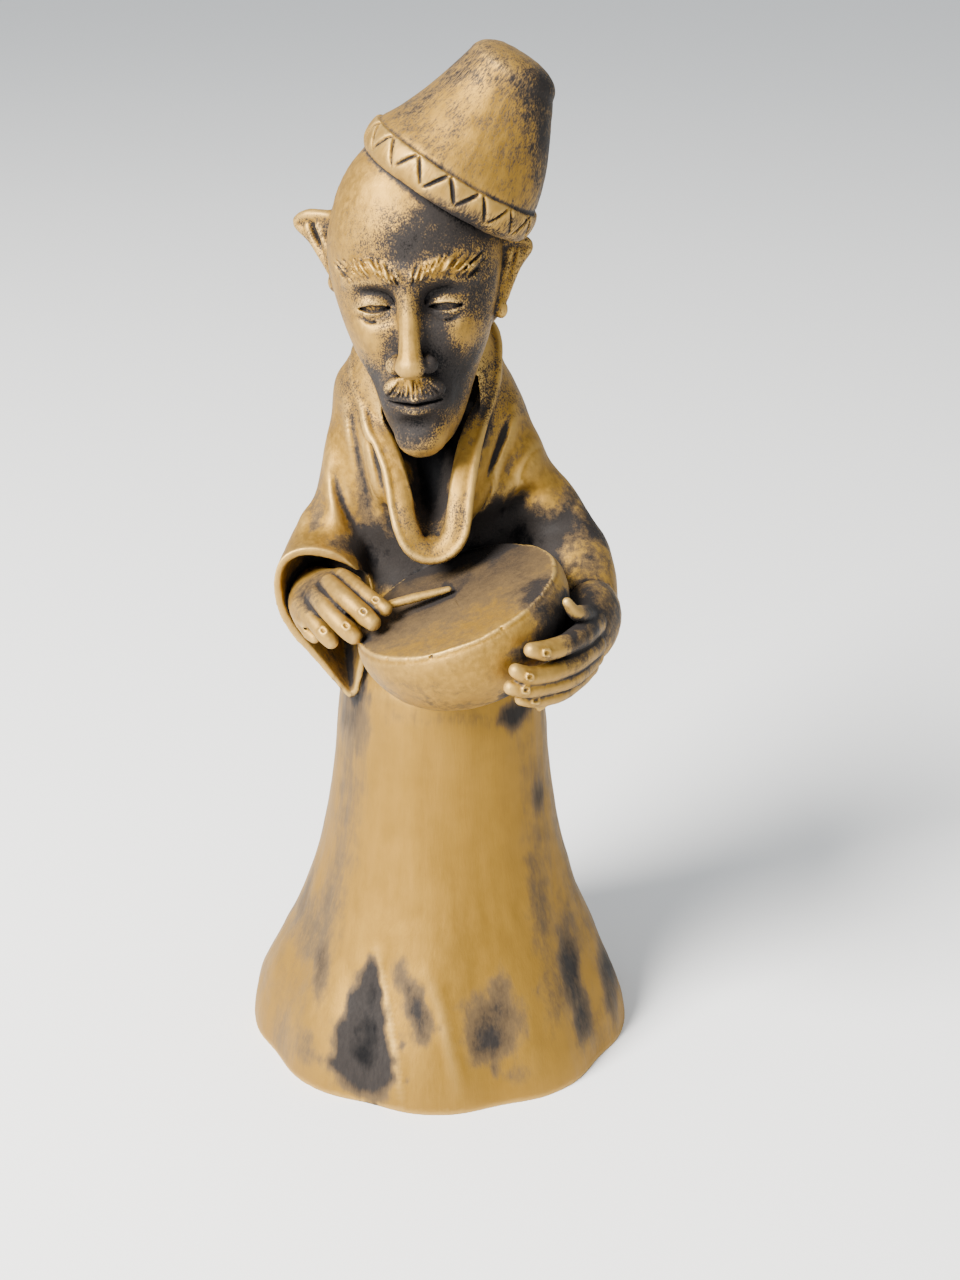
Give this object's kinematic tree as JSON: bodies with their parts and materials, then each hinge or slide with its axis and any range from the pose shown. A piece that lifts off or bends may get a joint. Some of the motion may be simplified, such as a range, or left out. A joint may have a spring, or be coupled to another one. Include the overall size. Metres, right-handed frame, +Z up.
{
  "type": "clay figurine",
  "caption": "Standing figurine of a robed drummer in painted fired clay, with a tilted cap, bell sleeves, a bowl drum and a beater, resting on its flat underside.",
  "frame": {"origin": "middle of the flat underside, on the surface that the figurine stands on", "axes": "+Z up along the figure, -Y the way that it looks, +X towards its left hand"},
  "size_m": [0.0793, 0.0891, 0.2008],
  "materials": {
    "painted_clay": "matt antique gold brushed and sponged over charcoal, dark in the hollows"
  },
  "bodies": {
    "root": {"figurine": "painted_clay"}
  },
  "joints": []
}
